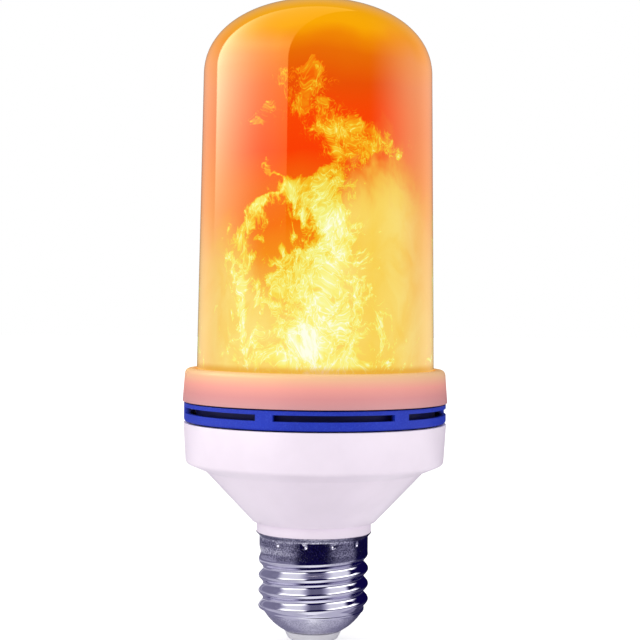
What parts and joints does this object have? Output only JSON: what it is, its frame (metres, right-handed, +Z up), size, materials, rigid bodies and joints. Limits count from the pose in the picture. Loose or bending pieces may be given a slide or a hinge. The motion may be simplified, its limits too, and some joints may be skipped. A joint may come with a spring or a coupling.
{
  "type": "flame effect led bulb",
  "caption": "Tall domed diffuser lamp with a flickering flame glow, vented collar, conical housing and an Edison screw cap.",
  "frame": {"origin": "centre of the centre contact's flat face, at the bottom of the bulb on its axis", "axes": "+Z up the bulb's axis from the screw cap to the dome; -Y is the side that the picture shows"},
  "size_m": [0.0634, 0.0634, 0.1544],
  "materials": {
    "diffuser": "satin moulded diffuser, lit from inside",
    "collar_plastic": "satin moulded",
    "vent_plastic": "fine grained moulded",
    "housing_plastic": "satin moulded",
    "cap_metal": "nickel plated",
    "insulator_ceramic": "matt",
    "contact_metal": "tinned",
    "white_plastic": "moulded",
    "flex_circuit": "white flexible circuit",
    "circuit_board": "green resist",
    "black_epoxy": "moulded epoxy",
    "dark_sleeve": "shrink sleeve",
    "copper_winding": "enamelled wire on a bobbin",
    "steel_can": "metal can",
    "fuse_coating": "lacquer",
    "red_insulation": "wire insulation",
    "black_insulation": "wire insulation",
    "blue_insulation": "wire insulation"
  },
  "bodies": {
    "root": {"globe": "diffuser", "collar": "collar_plastic", "vent_ring": "vent_plastic", "housing": "housing_plastic", "screw_cap": "cap_metal", "insulator": "insulator_ceramic", "centre_contact": "contact_metal", "led_core": "white_plastic", "core_cap": "white_plastic", "carrier_plate": "white_plastic", "led_sheet": "flex_circuit", "driver_board": "circuit_board", "bridge_rectifier": "black_epoxy", "control_chip": "black_epoxy", "bulk_capacitor": "dark_sleeve", "output_capacitor": "dark_sleeve", "inductor": "copper_winding", "tilt_switch": "steel_can", "fuse_resistor": "fuse_coating", "live_wire": "red_insulation", "led_wire_positive": "red_insulation", "neutral_wire": "black_insulation", "led_wire_negative": "blue_insulation"}
  },
  "joints": []
}
